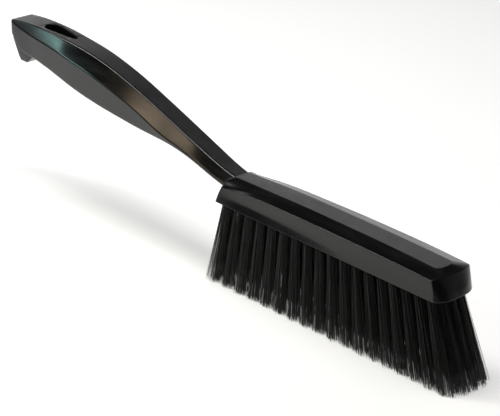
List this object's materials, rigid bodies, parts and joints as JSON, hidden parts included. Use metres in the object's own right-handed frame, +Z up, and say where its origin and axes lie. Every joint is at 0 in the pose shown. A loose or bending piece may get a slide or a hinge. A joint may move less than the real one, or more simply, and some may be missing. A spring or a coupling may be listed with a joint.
{
  "type": "hand brush",
  "caption": "One-piece moulded hand brush with an arched faceted handle, hanging hole, hook lip and a long block of dense fanned filament tufts.",
  "frame": {"origin": "middle of the bounding box, on the surface that the filament tips stand on", "axes": "+X from the handle to the nose of the block, +Y across the block, +Z up; the XZ plane is the plane of symmetry"},
  "size_m": [0.346, 0.0346, 0.096],
  "materials": {
    "moulded_back": "black injection-moulded polypropylene, glossy facets, fine-grained satin top faces",
    "filament": "black polyester filament, slight sheen along each filament",
    "anchor_wire": "flat stainless anchor strip"
  },
  "bodies": {
    "root": {"brush_back": "moulded_back", "tuft_near_01": "filament", "tuft_near_02": "filament", "tuft_near_03": "filament", "tuft_near_04": "filament", "tuft_near_05": "filament", "tuft_near_06": "filament", "tuft_near_07": "filament", "tuft_near_08": "filament", "tuft_near_09": "filament", "tuft_near_10": "filament", "tuft_near_11": "filament", "tuft_near_12": "filament", "tuft_near_13": "filament", "tuft_near_14": "filament", "tuft_near_15": "filament", "tuft_near_16": "filament", "tuft_near_17": "filament", "tuft_near_18": "filament", "tuft_middle_01": "filament", "tuft_middle_02": "filament", "tuft_middle_03": "filament", "tuft_middle_04": "filament", "tuft_middle_05": "filament", "tuft_middle_06": "filament", "tuft_middle_07": "filament", "tuft_middle_08": "filament", "tuft_middle_09": "filament", "tuft_middle_10": "filament", "tuft_middle_11": "filament", "tuft_middle_12": "filament", "tuft_middle_13": "filament", "tuft_middle_14": "filament", "tuft_middle_15": "filament", "tuft_middle_16": "filament", "tuft_middle_17": "filament", "tuft_middle_18": "filament", "tuft_far_01": "filament", "tuft_far_02": "filament", "tuft_far_03": "filament", "tuft_far_04": "filament", "tuft_far_05": "filament", "tuft_far_06": "filament", "tuft_far_07": "filament", "tuft_far_08": "filament", "tuft_far_09": "filament", "tuft_far_10": "filament", "tuft_far_11": "filament", "tuft_far_12": "filament", "tuft_far_13": "filament", "tuft_far_14": "filament", "tuft_far_15": "filament", "tuft_far_16": "filament", "tuft_far_17": "filament", "tuft_far_18": "filament", "tuft_near_end_01": "filament", "tuft_near_end_02": "filament", "tuft_far_end_01": "filament", "tuft_far_end_02": "filament"}
  },
  "joints": []
}
